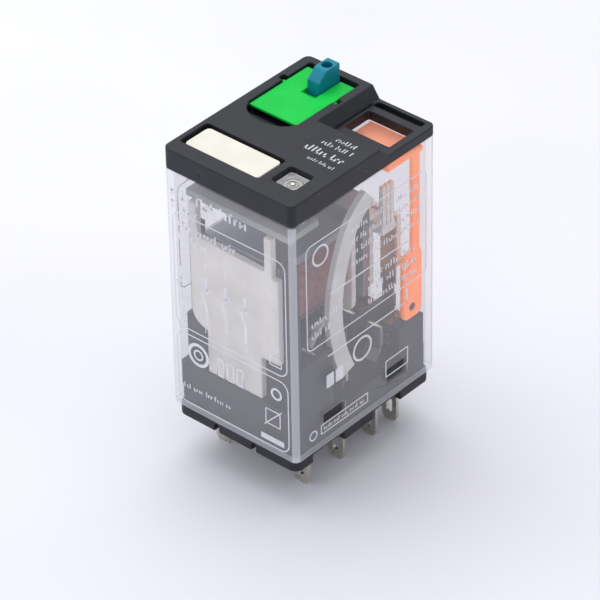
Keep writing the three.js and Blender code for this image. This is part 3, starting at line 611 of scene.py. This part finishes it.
def print_on(face, name, marks, material="ink"):
    """Joins flat marks into one print and lays it on a face of the relay."""
    turn, place = FACES[face]
    bpy.ops.object.select_all(action="DESELECT")
    for mark in marks:
        mark.select_set(True)
    bpy.context.view_layer.objects.active = marks[0]
    bpy.ops.object.join()
    obj = bpy.context.object
    apply_modifier(obj, "SOLIDIFY", thickness=INK_THICKNESS * MM, offset=1)
    obj.rotation_euler = turn
    obj.location = place
    settle(obj)
    finish_piece(obj, name, "root", material)


CONTACT_COLUMNS = [-8.1, -3.9, -0.7, 2.5]


def contact_symbol(x, first):
    """One changeover contact as a diagram shows it, with plain terminal numbers."""
    return [
        number(first, x, 25.7, 0.85), number(first + 8, x, 15.7, 0.85),
        patch(x - 0.24, x + 0.24, 21.4, 23.8, 0.08), patch(x - 0.24, x + 0.24, 16.8, 19.2, 0.08),
        slanted(x - 0.75, 21.4, x, 19.2, 0.3), patch(x - 0.1, x + 0.9, 21.9, 22.1, 0.05),
    ]


def print_front():
    marks = [
        outline(-9.2, 9.2, 14.5, 31.8, 1.4), outline(-9.2, 9.3, 2.9, 13.8, 1.4),
        patch(4.6, 8.4, 3.6, 4.4, 0.1), ring(-5.6, 11.2, 1.75, 0.45), ring(-5.6, 11.2, 0.8, 0.25),
        outline(5.4, 7.9, 6.2, 8.6, 0.2), slanted(5.2, 5.9, 8.1, 8.9), ring(7.3, 11.4, 0.9, 0.3),
        outline(6.3, 8.3, 15.6, 16.9, 0.15), number(13, 7.3, 18.3, 0.85),
    ]
    marks += words(-9.2, 3.4, 34.6, 1.5, 3)
    marks += words(-9.2, -4.2, 32.7, 1.2, 5)
    marks += words(-8.2, 1.4, 30.1, 1.15, 8)
    marks += words(-8.2, -3.6, 28.2, 1.15, 13)
    marks += words(-8.6, -0.4, 5.6, 0.75, 21)
    for edge in (-2.5, -0.9, 0.7):
        marks.append(outline(edge, edge + 1.3, 9.6, 12.4, 0.1, 0.3))
    for i, x in enumerate(CONTACT_COLUMNS):
        marks += contact_symbol(x, 4 - i)
    print_on("front", "front_print", marks)


def print_right():
    marks = [
        outline(-11.1, 11.6, 17.7, 33.3, 1.0), patch(-6.8, 7.7, 24.2, 24.4, 0.05),
        patch(-7.3, 7.8, 15.1, 15.3, 0.05), patch(7.6, 7.9, 15.1, 17.2, 0.08),
        ring(-8.4, 31.0, 1.5, 0.28), ring(-0.8, 12.8, 1.8, 0.32), ring(-10.2, 4.6, 0.75, 0.2),
        outline(-8.8, 0.2, 3.9, 5.4, 0.15), outline(3.6, 8.0, 5.6, 8.2, 0.12),
        patch(-7.6, -6.2, 10.4, 12.4, 0.2), patch(-5.9, -4.5, 10.4, 12.4, 0.2),
    ]
    for i, line in enumerate((31.6, 29.9, 28.2, 26.5)):
        marks += words(-2.6, 10.2, line, 0.85, 30 + i)
    for i, line in enumerate((22.8, 21.0, 19.2)):
        marks += words(0.4, 9.8, line, 0.95, 40 + i)
    for i, line in enumerate((21.4, 19.7)):
        marks += words(-10.2, -4.0, line, 0.95, 50 + i)
    marks += words(-8.2, -0.4, 4.65, 0.6, 60)
    print_on("right", "right_print", marks)


def print_left():
    marks = [outline(-11.1, 11.1, 17.7, 33.3, 1.0), patch(-6.8, 7.7, 24.2, 24.4, 0.05)]
    for i, line in enumerate((31.2, 29.4, 27.6, 22.2, 20.2)):
        marks += words(-9.6, 9.0, line, 0.9, 70 + i)
    print_on("left", "left_print", marks)


def print_cap():
    marks = words(5.0, 8.2, 1.2, 0.85, 81) + words(3.9, 8.6, -0.2, 0.85, 82)
    marks += words(2.9, 9.0, -2.1, 1.2, 83) + words(4.7, 8.9, -3.9, 0.6, 84)
    print_on("top", "cap_print", marks, "cap_ink")


def dress_remaining_nodes():
    """Pieces deep inside keep their packed form and take their real finish."""
    for node, obj in NODES.items():
        obj.data.materials.clear()
        obj.data.materials.append(MATERIALS[SLOT_OF[node]])


# ---- studio ----

FLOOR_SIZE = 1.6
LIT_POINT = Vector((0, 0, 20)) * MM
AMBIENT_COLOUR = "#f6f7ff"
AMBIENT_STRENGTH = 0.735


def softbox(name, place, size, watts, colour):
    """A soft panel lamp that faces the relay; its place and size are in metres."""
    data = bpy.data.lights.new(name, "AREA")
    data.shape = "RECTANGLE"
    data.size, data.size_y = size
    data.energy = watts
    data.color = linear(colour)[:3]
    lamp = bpy.data.objects.new(name, data)
    lamp.location = place
    aim = (LIT_POINT - Vector(place)).to_track_quat("-Z", "Y")
    lamp.rotation_euler = aim.to_euler()
    bpy.context.scene.collection.objects.link(lamp)


def make_studio():
    bpy.ops.object.select_all(action="DESELECT")
    bpy.ops.mesh.primitive_plane_add(size=FLOOR_SIZE, location=(0, 0, FLOOR_Z))
    floor = bpy.context.object
    floor.name = "floor"
    material, tree, shader, coords = start_material("matt_paper", "#f1f1f8", 0.8)
    tone = shade_between(tree, noise(tree, coords, 60.0, 2.0), "#e9e9ef", "#f0f0f4")
    tree.links.new(tone, shader.inputs["Base Color"])
    floor.data.materials.append(material)

    world = bpy.data.worlds.new("studio")
    bpy.context.scene.world = world
    world.use_nodes = True
    background = world.node_tree.nodes["Background"]
    background.inputs["Color"].default_value = linear(AMBIENT_COLOUR)
    background.inputs["Strength"].default_value = AMBIENT_STRENGTH
    bpy.context.scene.view_settings.view_transform = "Standard"

    softbox("top_softbox", (-0.16, 0.12, 0.54), (0.55, 0.55), 1.75, "#ffffff")
    softbox("left_softbox", (-0.5, -0.35, 0.3), (0.4, 0.4), 0.6, "#f4f6ff")


round_moulded_pieces()
make_case()
wind_coil()
make_led_window()
print_front()
print_right()
print_left()
print_cap()
dress_remaining_nodes()
make_studio()
